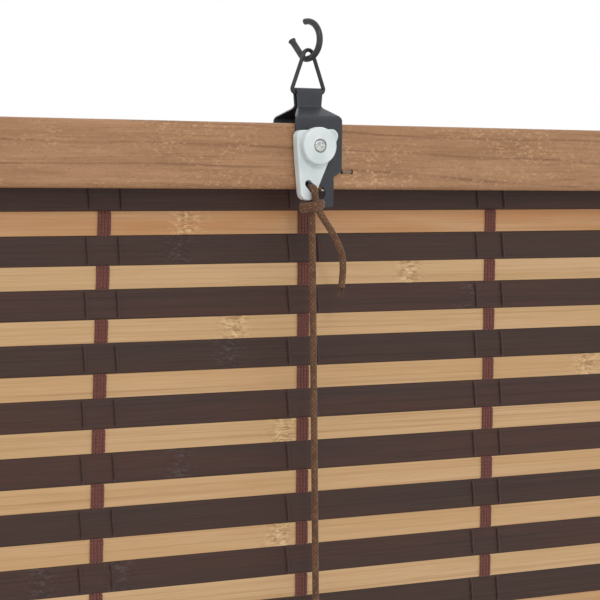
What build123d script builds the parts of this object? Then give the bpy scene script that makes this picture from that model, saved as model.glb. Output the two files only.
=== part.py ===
from build123d import *
import math
import os

os.makedirs("parts", exist_ok=True)

# Row frame: X along the headrail, +Y to the rear, +Z up, all in millimetres.
# The origin is midway between the two points where the hooks rest on their supports.

# ---- overall ----
WIDTH = 600.0
HANGER_X = 144.0  # each hanger, from the middle of the rail
LADDERS = 6
LADDER_PITCH = 96.0

# ---- hook: round wire, open at the upper left ----
HOOK_WIRE = 2.75
HOOK_YAW = 75.0  # turned almost square to the blind
HOOK_ARC_R = 8.03
HOOK_ARC_MID = (-0.93, 7.98)  # centre of the arm's arc, along and up
HOOK_ARM_END = -2.2
HOOK_LEG_BEND = (-2.6, -0.3)
HOOK_LEG_END = (-10.0, 7.6)
HOOK_BEND_R = 4.4
HOOK_FLARE = 0.35
SEAT_RISE = 14.58  # from the wire's centre at the bottom to the seat at the top
HOOK_Z = -SEAT_RISE

# ---- triangular wire ring ----
RING_WIRE = 1.75
RING_TOP_Z = HOOK_Z + 4.15  # centre of the wire at the apex
RING_HEIGHT = 18.75  # between wire centres
RING_HALF = 8.25  # bar's half length, to the corner's centre lines
RING_APEX_R = 2.3
RING_APEX_RISE = 4.03  # where the legs' lines cross, above the apex
RING_CORNER_R = 1.6
BAR_Z = RING_TOP_Z - RING_HEIGHT

# ---- strap: sheet folded over the ring's bar and down both faces of the rail ----
SHEET = 1.0
FOLD_CLEAR = 0.2
FOLD_R = RING_WIRE / 2 + FOLD_CLEAR + SHEET / 2  # centre of the sheet
PLATE_IN = 9.8  # inner face, from the ring's plane
PLATE_WIDE = 22.2
NECK_TOP_WIDE = 12.2
NECK_LOW_WIDE = 11.0
FOLD_RISE = 15.5  # fold's top above the rail
NECK_RISE = 7.1
SHOULDER_RISE = 2.6
PLATE_DROP = 20.0
TONGUE_STEP = 2.6
TONGUE_WIDE = 14.5
TONGUE_DROP = 35.6
TONGUE_HOLE = 6.5
TONGUE_HOLE_DROP = 29.5
BEND_R = 1.8
SHOULDER_R = 3.6
NECK_R = 2.4

# ---- headrail ----
RAIL_TOP = BAR_Z + FOLD_R + SHEET / 2 - FOLD_RISE
RAIL_HIGH = 28.0
RAIL_THICK = 16.0
RAIL_FRONT = -9.5
RAIL_REAR = RAIL_FRONT + RAIL_THICK
RAIL_BOTTOM = RAIL_TOP - RAIL_HIGH
RAIL_ROUND = 2.6

# ---- woven slats ----
SLAT_THICK = 2.2
DARK_HIGH = 12.62
LIGHT_HIGH = 10.1
SLAT_GAP = 0.16
PAIR = DARK_HIGH + LIGHT_HIGH + 2 * SLAT_GAP
SLAT_ROUND = 0.45
YARN_WIDE = 6.0
YARN_THICK = 0.5
SLAT_FRONT = RAIL_REAR + YARN_THICK
SLAT_REAR = SLAT_FRONT + SLAT_THICK  # the plane that the joints turn in
ROW_TOP = RAIL_BOTTOM + 4.67  # the first visible row starts behind the rail
FIXED_PAIRS = 3
MOVING_PAIRS = 30
BAR_TOP = ROW_TOP - PAIR * (FIXED_PAIRS + MOVING_PAIRS)
BAR_HIGH = 22.0
BAR_FRONT = SLAT_REAR - 3.2
BAR_REAR = SLAT_REAR + 2.8

# ---- front cord anchor: nylon flange, disc and slotted tail ----
ANCHOR_X = -3.3
ANCHOR_DROP = 9.5  # screw's centre below the top of the rail
ANCHOR_THICK = 4.0
DISC = 15.8
DISC_STAND = 3.5
ANCHOR_LEFT = -9.3  # from the screw's centre
ANCHOR_RIGHT = 10.6
ANCHOR_EAR_R = 3.0
TAIL_DROP = 23.3
TAIL_X = -3.6
TAIL_WIDE = 7.3
SLOT_LONG = 6.6
SLOT_WIDE = 3.3
SLOT_DROP = 17.3
SLOT_X = -2.6
SLOT_TILT = -48.0
SCREW_HEAD = 5.2
SCREW_SHANK = 3.0

# ---- rear pulley ----
CORD = 3.0
CORD_X = -6.0  # the falls, from the strap's centre
CORD_LEAN = 28.0  # how far the sling's lowest point is to the right
WHEEL_GROOVE_R = 6.0
WHEEL_R = 8.6
WHEEL_FRONT = 13.9
WHEEL_WIDE = 8.4
GROOVE_STEP = 4.2
WHEEL_BORE = 3.6
PIN = 3.0
CORD_CLEAR = 0.3
WRAP_R = WHEEL_GROOVE_R + CORD_CLEAR + CORD / 2
WHEEL_X = CORD_X + WRAP_R
WHEEL_DROP = 13.0
BLOCK_WIDE = 22.0
BLOCK_BASE = 2.5
BLOCK_LOW = 17.0
BLOCK_HIGH = 10.0
CHEEK = 2.0
CHEEK_GAP = 0.4
WEB = 2.0

# ---- cord guide at the right end ----
POST_R = 5.0
POST_X = WIDTH / 2 - 0.6
POST_FLANGE_R = 8.0
GUIDE_LEFT = 28.0
GUIDE_HIGH = 9.0
GUIDE_LOW = 14.0
GUIDE_WRAP_R = POST_R + CORD / 2 + 0.1

# ---- pull ----
EXIT_DROP = 12.0
PULL_LONG = 400.0
PULL_SWING = 31.0  # the top of each pull cord is bevelled to swing this far
KNOB_LONG = 34.0
KNOB_R = 8.0

# ---- knot and tied end ----
KNOT_DROP = 34.9
FALL_SHIFT = 1.0  # the fall's top, right of the pulley's cord

# ---- staples ----
STAPLE_CROWN = 6.0
STAPLE_WIRE = 0.9
STAPLE_X = 14.3
STAPLE_DROP = 20.4
REAR_STAPLES = 6
REAR_STAPLE_PITCH = 106.0

PLATE_OUT = PLATE_IN + SHEET
BASE_REAR = PLATE_OUT + BLOCK_BASE
CHEEK_FRONT = WHEEL_FRONT + WHEEL_WIDE + CHEEK_GAP
WHEEL_Z = RAIL_TOP - WHEEL_DROP
RUN_Z = WHEEL_Z + WRAP_R
GROOVE_Y = {
    "right": WHEEL_FRONT + WHEEL_WIDE / 2 - GROOVE_STEP / 2,
    "left": WHEEL_FRONT + WHEEL_WIDE / 2 + GROOVE_STEP / 2,
}
SIDES = {"left": -HANGER_X, "right": HANGER_X}
made = {}


def save(name, shape):
    """Keeps a piece and writes its STEP file."""
    shape.label = name
    made[name] = shape
    export_step(shape, f"parts/{name}.step")


def rod(path, wire):
    """Round wire or cord along a path."""
    return sweep(Plane(origin=path @ 0, z_dir=path % 0) * Circle(wire / 2), path=path)


def soft_path(points):
    """A cord's path: straight runs joined by arcs as large as the runs allow."""
    runs = [(b - a).length for a, b in zip(points, points[1:])]
    radii = []
    for i in range(1, len(points) - 1):
        turn = (points[i] - points[i - 1]).get_angle(points[i + 1] - points[i])
        radii.append(0.45 * min(runs[i - 1], runs[i]) / math.tan(math.radians(turn) / 2))
    print("cord radii", [round(r, 1) for r in radii])
    lines = []
    start = points[0]
    for i, radius in enumerate(radii, 1):
        back = (points[i - 1] - points[i]).normalized()
        ahead = (points[i + 1] - points[i]).normalized()
        turn = 180 - back.get_angle(ahead)
        reach = radius * math.tan(math.radians(turn) / 2)
        enter, leave = points[i] + back * reach, points[i] + ahead * reach
        inward = (back + ahead).normalized()
        middle = points[i] + inward * (reach / math.sin(math.radians(turn) / 2) - radius)
        lines += [Line(start, enter), ThreePointArc(enter, middle, leave)]
        start = leave
    return Wire(lines + [Line(start, points[-1])])


def block(x, y, z):
    """A box between two corners given as (low, high) on each axis."""
    sizes = [high - low for low, high in (x, y, z)]
    centre = [(high + low) / 2 for low, high in (x, y, z)]
    return Pos(*centre) * Box(*sizes)


def along_y(radius, low, high, x, z):
    """A cylinder whose axis is parallel to Y."""
    return Pos(x, (low + high) / 2, z) * Rot(90, 0, 0) * Cylinder(radius, high - low)


def front_plate(outline, low, high):
    """A face drawn in X and Z, made solid between two depths."""
    return extrude(Plane(origin=(0, low, 0), x_dir=(1, 0, 0), z_dir=(0, -1, 0)) * outline, -(high - low))


# ---- hooks ----
def hook():
    """The open hook, with its wire's centre at the bottom on the local origin."""
    middle_u, middle_w = HOOK_ARC_MID
    end = (HOOK_ARM_END, middle_w + math.sqrt(HOOK_ARC_R**2 - (HOOK_ARM_END - middle_u) ** 2))
    plane = Plane(
        origin=(0, 0, 0),
        x_dir=(math.cos(math.radians(HOOK_YAW)), -math.sin(math.radians(HOOK_YAW)), 0),
        z_dir=(-math.sin(math.radians(HOOK_YAW)), -math.cos(math.radians(HOOK_YAW)), 0),
    )
    arm = ThreePointArc(end, (middle_u + HOOK_ARC_R, middle_w), (0, 0))
    leg = FilletPolyline((0, 0), HOOK_LEG_BEND, HOOK_LEG_END, radius=HOOK_BEND_R)
    body = rod(plane * arm, HOOK_WIRE) + rod(plane * leg, HOOK_WIRE)
    tip = plane * leg
    flare = Plane(origin=tip @ 1, z_dir=tip % 1) * Cone(HOOK_WIRE / 2, HOOK_WIRE / 2 + HOOK_FLARE, 1.2)
    return body + flare


for side, x in SIDES.items():
    save(f"hook_{side}", Pos(x, 0, HOOK_Z) * hook())


# ---- rings ----
def ring():
    """The triangular ring as one closed loop of wire in the XZ plane."""
    low = BAR_Z
    plane = Plane(origin=(0, 0, 0), x_dir=(1, 0, 0), z_dir=(0, -1, 0))
    points = [(-RING_HALF, low), (RING_HALF, low), (0, RING_TOP_Z + RING_APEX_RISE)]
    outline = make_face(Polyline(*points, close=True))
    outline = fillet(outline.vertices().sort_by(Axis.Y)[:2], RING_CORNER_R)
    outline = fillet(outline.vertices().sort_by(Axis.Y)[-1:], RING_APEX_R)
    loop = plane * outline.face().outer_wire()
    return rod(loop, RING_WIRE)


for side, x in SIDES.items():
    save(f"ring_{side}", Pos(x, 0, 0) * ring())


# ---- headrail ----
rail = block((-WIDTH / 2, WIDTH / 2), (RAIL_FRONT, RAIL_REAR), (RAIL_BOTTOM, RAIL_TOP))
rail = fillet(rail.edges().filter_by(Axis.X), RAIL_ROUND)
rail = fillet(rail.faces().filter_by(Axis.X).edges(), 0.8)
driven = []  # screws and staples, which the rail and the slats are cut for


# ---- straps ----
def strap():
    """Sheet swept over the ring's bar, cut to the plate's outline and pierced."""
    low = RAIL_TOP - TONGUE_DROP
    mid = PLATE_IN + SHEET / 2
    rear = FilletPolyline(
        (0, mid, low),
        (0, mid, RAIL_TOP + SHOULDER_RISE),
        (0, FOLD_R, RAIL_TOP + NECK_RISE),
        (0, FOLD_R, BAR_Z),
        radius=BEND_R,
    )
    fold = ThreePointArc((0, FOLD_R, BAR_Z), (0, 0, BAR_Z + FOLD_R), (0, -FOLD_R, BAR_Z))
    path = Wire([*rear.edges(), fold, *mirror(rear, about=Plane.XZ).edges()])
    start = Plane(origin=(0, mid, low), x_dir=(1, 0, 0), z_dir=(0, 0, 1))
    sheet = sweep(start * Rectangle(PLATE_WIDE, SHEET), path=path)
    half, tongue = PLATE_WIDE / 2, TONGUE_WIDE / 2
    right = [
        (NECK_TOP_WIDE / 2, BAR_Z + FOLD_RISE),
        (NECK_TOP_WIDE / 2, BAR_Z),
        (NECK_LOW_WIDE / 2, RAIL_TOP + NECK_RISE),
        (half, RAIL_TOP + SHOULDER_RISE),
        (half, RAIL_TOP - PLATE_DROP),
        (tongue, RAIL_TOP - PLATE_DROP - TONGUE_STEP),
        (tongue, low),
    ]
    left = [(-x, z) for x, z in reversed(right)]
    outline = make_face(Polyline(*right, *left, close=True))
    outline = fillet(outline.vertices().sort_by(Axis.Y)[:2], 1.5)
    shoulders = outline.vertices().filter_by_position(
        Axis.Y, RAIL_TOP + SHOULDER_RISE - 0.1, RAIL_TOP + SHOULDER_RISE + 0.1
    )
    outline = fillet(shoulders, SHOULDER_R)
    neck = outline.vertices().filter_by_position(Axis.Y, RAIL_TOP + NECK_RISE - 0.1, RAIL_TOP + NECK_RISE + 0.1)
    outline = fillet(neck, NECK_R)
    holes = along_y(TONGUE_HOLE / 2, -PLATE_OUT - 1, PLATE_OUT + 1, 0, RAIL_TOP - TONGUE_HOLE_DROP)
    screw = along_y(
        SCREW_SHANK / 2, -PLATE_OUT - 1, 0, ANCHOR_X, RAIL_TOP - ANCHOR_DROP
    )
    return (sheet & front_plate(outline, -PLATE_OUT - 1, PLATE_OUT + 1)) - holes - screw


def block_screws():
    """Where the two screws of a pulley block sit, from its strap's centre."""
    return [(WHEEL_X - 2.6, WHEEL_Z - 14.4), (WHEEL_X + 6.6, WHEEL_Z - 14.4)]


one_strap = strap()
for x, z in block_screws():
    one_strap -= along_y(SCREW_SHANK / 2, 0, PLATE_OUT + 1, x, z)
for side, x in SIDES.items():
    save(f"hanger_strap_{side}", Pos(x, 0, 0) * one_strap)


# ---- front anchors ----
def anchor():
    """Flange with two ears, a disc over the screw and a tail with the cord's slot."""
    x, z = ANCHOR_X, RAIL_TOP - ANCHOR_DROP
    ear = ANCHOR_DROP - 2.3 - ANCHOR_EAR_R
    outline = make_hull(
        [
            *(Pos(x + ANCHOR_LEFT + ANCHOR_EAR_R, z + ear - 0.6) * Circle(ANCHOR_EAR_R)).edges(),
            *(Pos(x + ANCHOR_LEFT + 4.0, z - 6.0) * Circle(3.4)).edges(),
            *(Pos(x + ANCHOR_RIGHT - ANCHOR_EAR_R, z + ear) * Circle(ANCHOR_EAR_R)).edges(),
            *(Pos(x + TAIL_X, z - TAIL_DROP + TAIL_WIDE / 2) * Circle(TAIL_WIDE / 2)).edges(),
        ]
    )
    plate = front_plate(outline, -PLATE_OUT - ANCHOR_THICK, -PLATE_OUT)
    plate = fillet(plate.faces().sort_by(Axis.Y)[0].edges(), 0.8)
    front = -PLATE_OUT - ANCHOR_THICK
    disc = along_y(DISC / 2, front - DISC_STAND, front, x, z)
    disc = fillet(disc.faces().sort_by(Axis.Y)[0].edges(), 0.7)
    notch = along_y(SCREW_HEAD / 2 + 0.4, front - DISC_STAND, front - DISC_STAND + 1.2, x, z)
    slot = front_plate(
        Pos(x + SLOT_X, z - SLOT_DROP) * Rot(0, 0, SLOT_TILT) * SlotOverall(SLOT_LONG, SLOT_WIDE),
        front - 1,
        -PLATE_OUT + 1,
    )
    shank = along_y(SCREW_SHANK / 2, front - DISC_STAND, -PLATE_OUT + 1, x, z)
    return plate + disc - notch - slot - shank


def wood_screw(head, x, z, face, point, toward=1):
    """A pan-head screw whose head stands on a face and whose shank runs along Y."""
    low, high = sorted((face, point))
    cap_low, cap_high = sorted((face, face - toward * 1.1))
    screw = along_y(head / 2, cap_low, cap_high, x, z)
    screw = fillet(screw.faces().sort_by(Axis.Y)[0 if toward > 0 else -1].edges(), 0.6)
    slots = [
        Pos(x, face - toward * 1.1, z) * Rot(0, turn, 0) * Box(head * 0.62, 1.0, 0.7)
        for turn in (45, 135)
    ]
    return screw + along_y(SCREW_SHANK / 2 - 0.05, low, high, x, z) - slots


anchor_face = -PLATE_OUT - ANCHOR_THICK - DISC_STAND + 1.2
screws = []
for side, x in SIDES.items():
    save(f"cord_anchor_{side}", Pos(x, 0, 0) * anchor())
    screws.append(
        wood_screw(SCREW_HEAD, x + ANCHOR_X, RAIL_TOP - ANCHOR_DROP, anchor_face, -1.0)
    )
driven += screws
save("anchor_screws", Compound(children=screws))


# ---- rear pulleys ----
def pulley_block():
    """Base on the strap, an open cheek behind the wheel, and a web that joins them."""
    base = block(
        (WHEEL_X - BLOCK_WIDE / 2, WHEEL_X + BLOCK_WIDE / 2),
        (PLATE_OUT, BASE_REAR),
        (WHEEL_Z - BLOCK_LOW, WHEEL_Z + BLOCK_HIGH),
    )
    base = fillet(base.edges().filter_by(Axis.Y), 3.0)
    cheek = along_y(BLOCK_WIDE / 2, CHEEK_FRONT, CHEEK_FRONT + CHEEK, WHEEL_X, WHEEL_Z)
    under = block(
        (WHEEL_X - 3.5, WHEEL_X + 6.0),
        (PLATE_OUT, CHEEK_FRONT + 0.5),
        (WHEEL_Z - WHEEL_R - 0.5 - WEB, WHEEL_Z - WHEEL_R - 0.5),
    )
    beside = block(
        (WHEEL_X + WHEEL_R + 0.4, WHEEL_X + WHEEL_R + 0.4 + WEB),
        (PLATE_OUT, CHEEK_FRONT + 0.5),
        (WHEEL_Z - 5.0, WHEEL_Z + 4.5),
    )
    body = base + cheek + under + beside
    body -= along_y(PIN / 2, PLATE_OUT, CHEEK_FRONT + CHEEK, WHEEL_X, WHEEL_Z)
    for x, z in block_screws():
        body -= along_y(SCREW_SHANK / 2, PLATE_OUT, BASE_REAR, x, z)
    return body


def wheel(x):
    """A double-grooved wheel that turns on the pin."""
    radius, groove = WHEEL_R, WHEEL_GROOVE_R
    body = along_y(radius, WHEEL_FRONT, WHEEL_FRONT + WHEEL_WIDE, x, WHEEL_Z)
    for y in GROOVE_Y.values():
        cut = CORD / 2 + CORD_CLEAR
        body -= Pos(x, y, WHEEL_Z) * Rot(90, 0, 0) * Torus(groove + cut, cut)
        body -= along_y(radius + 1, y - cut, y + cut, x, WHEEL_Z) - along_y(
            groove + cut, y - cut - 1, y + cut + 1, x, WHEEL_Z
        )
    return body - along_y(WHEEL_BORE / 2, WHEEL_FRONT - 1, CHEEK_FRONT, x, WHEEL_Z)


pins, screws = [], []
for side, x in SIDES.items():
    save(f"pulley_block_{side}", Pos(x, 0, 0) * pulley_block())
    save(f"pulley_wheel_{side}", wheel(x + WHEEL_X))
    centre = x + WHEEL_X
    pin = along_y(PIN / 2, PLATE_OUT, CHEEK_FRONT + CHEEK, centre, WHEEL_Z)
    head = along_y(PIN / 2 + 1.2, CHEEK_FRONT + CHEEK, CHEEK_FRONT + CHEEK + 1.0, centre, WHEEL_Z)
    pins.append(pin + fillet(head.faces().sort_by(Axis.Y)[-1].edges(), 0.6))
    for sx, sz in block_screws():
        screws.append(wood_screw(SCREW_HEAD, x + sx, sz, BASE_REAR, RAIL_REAR - 6.0, toward=-1))
save("pulley_pins", Compound(children=pins))


# ---- cord guide at the right end ----
guide_base_y = SLAT_REAR + YARN_THICK + 0.2
post_z = RUN_Z - GUIDE_WRAP_R
base = block(
    (POST_X - GUIDE_LEFT, POST_X + POST_R),
    (guide_base_y, BASE_REAR),
    (post_z - GUIDE_LOW, post_z + GUIDE_HIGH),
)
base = fillet(base.edges().filter_by(Axis.Y), 3.0)
post = along_y(POST_R, BASE_REAR, CHEEK_FRONT, POST_X, post_z)
flange = along_y(POST_FLANGE_R, CHEEK_FRONT, CHEEK_FRONT + CHEEK, POST_X, post_z)
flange = fillet(flange.faces().sort_by(Axis.Y)[-1].edges(), 0.6)
guide = base + post + flange
for sx in (POST_X - GUIDE_LEFT + 5.0, POST_X - GUIDE_LEFT + 15.0):
    guide -= along_y(SCREW_SHANK / 2, guide_base_y, BASE_REAR, sx, post_z - 7.0)
    screws.append(wood_screw(SCREW_HEAD, sx, post_z - 7.0, BASE_REAR, RAIL_REAR - 6.0, toward=-1))
save("cord_guide", guide)
driven += screws
save("mounting_screws", Compound(children=screws))


# ---- slats ----
def ladder_x():
    """Where the yarn ladders cross, along the rail."""
    first = -LADDER_PITCH * (LADDERS - 1) / 2
    return [first + LADDER_PITCH * i for i in range(LADDERS)]


def slat(top, high):
    """One flat slat with eased long edges."""
    bar = block((-WIDTH / 2, WIDTH / 2), (SLAT_FRONT, SLAT_REAR), (top - high, top))
    return fillet(bar.edges().filter_by(Axis.X), SLAT_ROUND)


def slat_pair(top):
    """A dark slat over a light one, with the yarn that crosses between them."""
    dark_top = top - SLAT_GAP / 2
    dark_low = dark_top - DARK_HIGH
    light_top = dark_low - SLAT_GAP
    light_low = light_top - LIGHT_HIGH
    body = slat(dark_top, DARK_HIGH) + slat(light_top, LIGHT_HIGH)
    for x in ladder_x():
        sides = (x - YARN_WIDE / 2, x + YARN_WIDE / 2)
        body += [
            block(sides, (SLAT_REAR - SLAT_ROUND, SLAT_REAR + YARN_THICK), (dark_low, dark_top)),
            block(sides, (SLAT_FRONT - YARN_THICK, SLAT_FRONT + SLAT_ROUND), (light_low, light_top)),
            block(
                sides,
                (SLAT_FRONT - YARN_THICK, SLAT_REAR + YARN_THICK),
                (light_top - SLAT_ROUND, dark_low + SLAT_ROUND),
            ),
        ]
    return body


pair = slat_pair(0)
fixed = [Pos(0, 0, ROW_TOP - PAIR * row) * pair for row in range(-1, FIXED_PAIRS)]
links = [
    block(
        (x - YARN_WIDE / 2, x + YARN_WIDE / 2),
        (SLAT_FRONT - YARN_THICK, SLAT_REAR + YARN_THICK),
        (
            ROW_TOP - PAIR * row - SLAT_GAP / 2 - SLAT_ROUND,
            ROW_TOP - PAIR * row + SLAT_GAP / 2 + SLAT_ROUND,
        ),
    )
    for x in ladder_x()
    for row in range(FIXED_PAIRS)
]
top_rows = fixed[0] + fixed[1:] + links
for row in range(MOVING_PAIRS):
    top = ROW_TOP - PAIR * (FIXED_PAIRS + row)
    save(f"slat_pair_{FIXED_PAIRS + row + 1:02d}", Pos(0, 0, top) * pair)

bar = block(
    (-WIDTH / 2, WIDTH / 2), (BAR_FRONT, BAR_REAR), (BAR_TOP - BAR_HIGH, BAR_TOP - SLAT_GAP / 2)
)
bar = fillet(bar.edges().filter_by(Axis.X), 1.6)
save("bottom_bar", bar)


# ---- staples ----
def staple(x, z, face, toward):
    """Crown against a face, with two legs driven in."""
    depth = 5.0
    crown_y = sorted((face, face - toward * STAPLE_WIRE))
    crown = block(
        (x - STAPLE_CROWN / 2, x + STAPLE_CROWN / 2), crown_y, (z - STAPLE_WIRE / 2, z + STAPLE_WIRE / 2)
    )
    legs = [
        block(
            (edge - STAPLE_WIRE / 2, edge + STAPLE_WIRE / 2),
            sorted((face, face + toward * depth)),
            (z - STAPLE_WIRE / 2, z + STAPLE_WIRE / 2),
        )
        for edge in (x - (STAPLE_CROWN - STAPLE_WIRE) / 2, x + (STAPLE_CROWN - STAPLE_WIRE) / 2)
    ]
    return crown + legs


staples = [staple(x + STAPLE_X, RAIL_TOP - STAPLE_DROP, RAIL_FRONT, 1) for x in SIDES.values()]
rear_z = ROW_TOP + SLAT_GAP / 2 + LIGHT_HIGH / 2
first = -REAR_STAPLE_PITCH * (REAR_STAPLES - 1) / 2
staples += [
    staple(first + REAR_STAPLE_PITCH * i, rear_z, SLAT_REAR, -1) for i in range(REAR_STAPLES)
]
driven += staples
save("rail_staples", Compound(children=staples))
save("headrail", rail - driven)
save("top_slats", top_rows - driven)

# ---- cords ----
knot_z = RAIL_TOP - KNOT_DROP
knot_y = -PLATE_OUT - 3.6
fall_y = knot_y
under_z = BAR_TOP - BAR_HIGH - CORD / 2 - 0.4
tangent_y = BAR_FRONT - CORD / 2 - 0.4
knots = []
for side, x in SIDES.items():
    cx, gy = x + CORD_X, GROOVE_Y[side]
    corner_front = Vector(cx + CORD_LEAN, tangent_y - 0.6, under_z)
    corner_rear = Vector(cx + CORD_LEAN, BAR_REAR + CORD / 2 + 1.0, under_z)
    # the sling: down the front, round the bottom bar and up the rear to the wheel
    save(
        f"lift_cord_{side}",
        rod(
            soft_path(
                [
                    Vector(cx + FALL_SHIFT, fall_y, knot_z - 2.0),
                    corner_front,
                    corner_rear,
                    Vector(cx, gy, WHEEL_Z - 0.2),
                ]
            ),
            CORD,
        ),
    )
    # over the wheel, along the rail and down over the guide's post
    over = x + WHEEL_X
    drop_x = POST_X + GUIDE_WRAP_R
    quarter = math.sqrt(0.5)
    run = Wire(
        [
            ThreePointArc(
                (cx, gy, WHEEL_Z),
                (over - WRAP_R * quarter, gy, WHEEL_Z + WRAP_R * quarter),
                (over, gy, RUN_Z),
            ),
            Line((over, gy, RUN_Z), (POST_X, gy, RUN_Z)),
            ThreePointArc(
                (POST_X, gy, RUN_Z),
                (POST_X + GUIDE_WRAP_R * quarter, gy, post_z + GUIDE_WRAP_R * quarter),
                (drop_x, gy, post_z),
            ),
            Line((drop_x, gy, post_z), (drop_x, gy, post_z - EXIT_DROP)),
        ]
    )
    save(f"run_cord_{side}", rod(run, CORD))
    # the tied end: out of the slot, behind the knot and off to the right
    start = Vector(
        x + ANCHOR_X + SLOT_X + 1.2, -PLATE_OUT - ANCHOR_THICK - 1.7, RAIL_TOP - ANCHOR_DROP - SLOT_DROP
    )
    save(
        f"tied_end_{side}",
        rod(
            soft_path(
                [
                    start,
                    Vector(x + CORD_X + 0.8, -PLATE_OUT - ANCHOR_THICK - 1.9, knot_z + 4.5),
                    Vector(x + CORD_X + 3.2, knot_y - 1.2, knot_z - 2.0),
                    Vector(x + CORD_X + 11.8, knot_y - 1.0, knot_z - 13.0),
                    Vector(x + CORD_X + 16.8, knot_y - 1.0, knot_z - 24.0),
                    Vector(x + CORD_X + 15.0, knot_y - 1.0, knot_z - 35.0),
                ]
            ),
            CORD,
        ),
    )
    turns = Pos(x + CORD_X + 0.8, knot_y - 0.4, knot_z) * Rot(0, 8, 0)
    knots.append(
        fillet((turns * Box(11.6, 6.4, 5.4)).edges(), 2.2)
        - made[f"tied_end_{side}"]
        - made[f"lift_cord_{side}"]
        - made[f"cord_anchor_{side}"]
    )
save("cord_knots", Compound(children=knots))

knob_top = post_z - EXIT_DROP - PULL_LONG
knob_y = (GROOVE_Y["left"] + GROOVE_Y["right"]) / 2
for side, y in GROOVE_Y.items():
    above = Rot(0, PULL_SWING, 0) * Pos(0, 0, CORD) * Box(4 * CORD, 2 * CORD, 2 * CORD)
    above = Pos(drop_x, y, post_z - EXIT_DROP) * above
    save(
        f"pull_cord_{side}",
        rod(Line((drop_x, y, post_z - EXIT_DROP), (drop_x, y, knob_top)), CORD) - above,
    )
sides = FilletPolyline(
    (4.4, 0), (7.4, -16.0), (KNOB_R, -24.0), (4.2, -KNOB_LONG), (0, -KNOB_LONG), radius=3.5
)
profile = make_face(Wire([*sides.edges(), Line((0, -KNOB_LONG), (0, 0)), Line((0, 0), (4.4, 0))]))
section = Plane(origin=(drop_x, knob_y, knob_top), x_dir=(1, 0, 0), z_dir=(0, -1, 0)) * profile
save("pull_knob", revolve(section, Axis((drop_x, knob_y, knob_top), (0, 0, 1))))

whole = Compound(children=list(made.values())).bounding_box()
print("pieces", len(made))
print("size", whole.size)
print("low", whole.min, "high", whole.max)
print("hook z", HOOK_Z, "bar z", BAR_Z, "rail top", RAIL_TOP, "row top", ROW_TOP, "pivot y", SLAT_REAR)
print("wheel", WHEEL_X, WHEEL_Z, "post", POST_X, post_z, "drop x", drop_x)
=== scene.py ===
"""Looks of the woven bamboo roll-up blind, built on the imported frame.

Sizes are in millimetres in the frame's own axes: X along the headrail, +Y to the rear, +Z up.
"""

import math
import random

import bpy
from mathutils import Matrix, Vector, noise


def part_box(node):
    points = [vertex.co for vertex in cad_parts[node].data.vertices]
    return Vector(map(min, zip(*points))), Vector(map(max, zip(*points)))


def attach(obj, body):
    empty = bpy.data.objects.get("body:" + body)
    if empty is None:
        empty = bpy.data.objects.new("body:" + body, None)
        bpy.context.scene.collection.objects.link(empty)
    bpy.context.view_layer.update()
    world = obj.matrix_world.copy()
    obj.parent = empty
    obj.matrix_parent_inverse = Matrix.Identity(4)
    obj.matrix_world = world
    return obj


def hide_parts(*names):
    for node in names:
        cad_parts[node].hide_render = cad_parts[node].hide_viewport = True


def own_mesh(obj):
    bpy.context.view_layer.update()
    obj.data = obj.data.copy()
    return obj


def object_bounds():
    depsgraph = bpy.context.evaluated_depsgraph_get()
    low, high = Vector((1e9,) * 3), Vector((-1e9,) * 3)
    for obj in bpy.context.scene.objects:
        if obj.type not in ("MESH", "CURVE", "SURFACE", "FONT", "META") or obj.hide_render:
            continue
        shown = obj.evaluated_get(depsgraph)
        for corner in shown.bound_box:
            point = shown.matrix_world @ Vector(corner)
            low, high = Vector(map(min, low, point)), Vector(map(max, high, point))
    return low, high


MM = 0.001

# ---- camera, fitted by a helper script to positions measured in the photo ----
CAMERA = (-529.0, -726.5, -63.15)
CAMERA_YAW = 27.75  # degrees to the right of straight ahead
CAMERA_DOWN = 3.86
CAMERA_ROLL = 0.59
CAMERA_LENS = 114.0
SENSOR = 36.0
CLIP_METRES = (0.05, 50.0)

# ---- stage, in metres ----
FLOOR_REACH = 4.0
FLOOR_DROP = 0.03
LIT_PLACE = (-0.14, 0.0, -0.12)

# ---- rail ----
GROWTH_LINES = 95.0  # growth lines per metre of the rail's height
GROWTH_SLOPE = 0.035  # how far they run out of the rail's own line
GRAIN_TILT = 0.8  # the fibres' own slope, in degrees

# ---- slats ----
WIDTH = 600.0
SLAT_THICK = 2.2
DARK_HIGH = 12.62
LIGHT_HIGH = 10.1
SLAT_GAP = 0.16
PAIR = DARK_HIGH + LIGHT_HIGH + 2 * SLAT_GAP
SLAT_ROUND = 0.45  # radius of the eased edges
SLAT_CROWN = 0.07  # how far each face bulges
CROWN_STEPS = (-0.9, -0.5, 0.0, 0.5, 0.9)  # shares of the half height where the face has points
CORNER_STEPS = 4
EDGE_SHADE = 0.75  # painted shade in the eased edges, where the slats meet in a groove
SLAT_SPREAD = 0.12  # the slats press together, so that no light shows between them
SLAT_STEP = 12.0  # between a slat's cross-sections
BOW, BOW_LONG = 0.06, 140.0  # how far a slat strays up and down, and over what length
DENT, DENT_LONG = 0.08, 60.0  # how far its faces stray
END_UNEVEN = 0.9  # how much shorter a slat may be at either end
END_CLEAR = 0.5
END_THIN, END_LOW = 0.93, 0.985  # how much of the section the cut ends keep
SETTLE = 1.7  # how far the first light slat hangs lower at its left end
SETTLE_X = 150.0  # where it hangs level
SETTLE_DEPTH = 0.55  # how much of a pair down it is fully that much lower
NODE_REACH = 6.0  # how far a bamboo node's marks spread
NODE_SWELL = 0.12  # the share by which the slat is thicker there
SWELL_REACH = 3.0
NODE_STATIONS = (-9, -6, -4, -2.5, -1.2, 0, 1.2, 2.5, 4, 6, 9)
FIXED_ROWS = 3  # the rows that the rail holds; the others bend
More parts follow.
